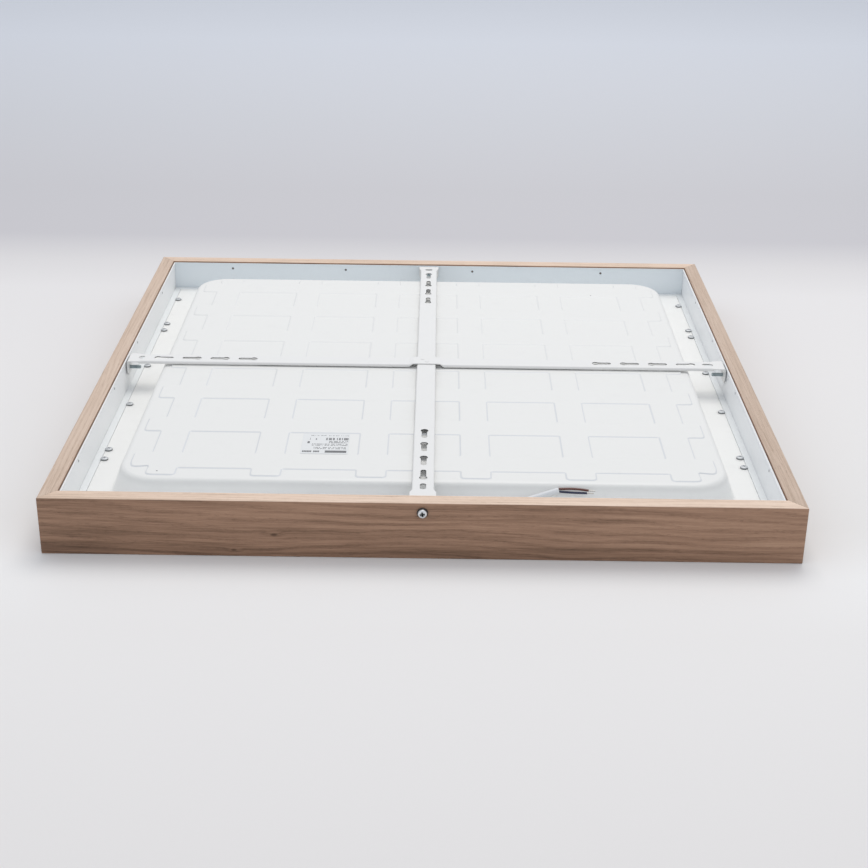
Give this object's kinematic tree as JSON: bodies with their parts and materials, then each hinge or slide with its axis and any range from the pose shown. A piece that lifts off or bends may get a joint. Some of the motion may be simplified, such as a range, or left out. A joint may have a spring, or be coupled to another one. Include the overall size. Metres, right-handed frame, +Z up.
{
  "type": "led panel light",
  "caption": "Square back-lit LED panel in an oak surface frame, lying light side down, with its ceiling cross of slotted bars, ribbed white back tray and short supply lead.",
  "frame": {"origin": "centre of the square frame, on the surface that the oak frame stands on", "axes": "+Z up, away from the light side and towards the ceiling; the front is -Y, where the supply lead lies; the side screws are on the X and Y axes"},
  "size_m": [0.6378, 0.6378, 0.0515],
  "materials": {
    "oak": "oiled oak",
    "white_steel": "white powder coat",
    "white_rim": "white powder coat on aluminium",
    "zinc": "zinc plated",
    "black_plastic": "matte",
    "opal": "opal, satin",
    "board": "white",
    "green_board": "green",
    "dark_can": "gloss",
    "label": "printed film",
    "sheath": "satin",
    "brown_core": "satin",
    "blue_core": "satin",
    "tinned": "tinned"
  },
  "bodies": {
    "lamp": {"back_tray": "white_steel", "cable_gland": "sheath", "cross_bar_x": "white_steel", "cross_bar_y": "white_steel", "cross_rivet_1": "white_steel", "cross_rivet_2": "white_steel", "diffuser": "opal", "driver_board": "green_board", "driver_capacitor_1": "dark_can", "driver_capacitor_2": "dark_can", "driver_case": "white_steel", "lead_core_blue": "blue_core", "lead_core_brown": "brown_core", "lead_sheath": "sheath", "lead_tip_blue": "tinned", "lead_tip_brown": "tinned", "led_strip_1": "board", "led_strip_2": "board", "led_strip_3": "board", "led_strip_4": "board", "led_strip_5": "board", "led_strip_6": "board", "panel_rim_back": "white_rim", "panel_rim_front": "white_rim", "panel_rim_left": "white_rim", "panel_rim_right": "white_rim", "rating_label": "label", "surround_wall_back": "white_steel", "surround_wall_front": "white_steel", "surround_wall_left": "white_steel", "surround_wall_right": "white_steel", "tray_screw_left_1": "zinc", "tray_screw_left_2": "zinc", "tray_screw_left_3": "zinc", "tray_screw_left_4": "zinc", "tray_screw_left_5": "zinc", "tray_screw_left_6": "zinc", "tray_screw_left_7": "zinc", "tray_screw_left_8": "zinc", "tray_screw_right_1": "zinc", "tray_screw_right_2": "zinc", "tray_screw_right_3": "zinc", "tray_screw_right_4": "zinc", "tray_screw_right_5": "zinc", "tray_screw_right_6": "zinc", "tray_screw_right_7": "zinc", "tray_screw_right_8": "zinc", "wood_rail_back": "oak", "wood_rail_front": "oak", "wood_rail_left": "oak", "wood_rail_right": "oak"},
    "side_screw_front": {"side_screw_front": "zinc", "side_washer_front": "black_plastic"},
    "side_screw_right": {"side_screw_right": "zinc", "side_washer_right": "black_plastic"},
    "side_screw_back": {"side_screw_back": "zinc", "side_washer_back": "black_plastic"},
    "side_screw_left": {"side_screw_left": "zinc", "side_washer_left": "black_plastic"}
  },
  "joints": [
    {"name": "side_screw_front_out", "type": "slide", "parent": "lamp", "child": "side_screw_front", "axis": [0, -1, 0], "range_m": [0, 0.0125]},
    {"name": "side_screw_right_out", "type": "slide", "parent": "lamp", "child": "side_screw_right", "axis": [1, 0, 0], "range_m": [0, 0.0125]},
    {"name": "side_screw_back_out", "type": "slide", "parent": "lamp", "child": "side_screw_back", "axis": [0, 1, 0], "range_m": [0, 0.0125]},
    {"name": "side_screw_left_out", "type": "slide", "parent": "lamp", "child": "side_screw_left", "axis": [-1, 0, 0], "range_m": [0, 0.0125]}
  ]
}
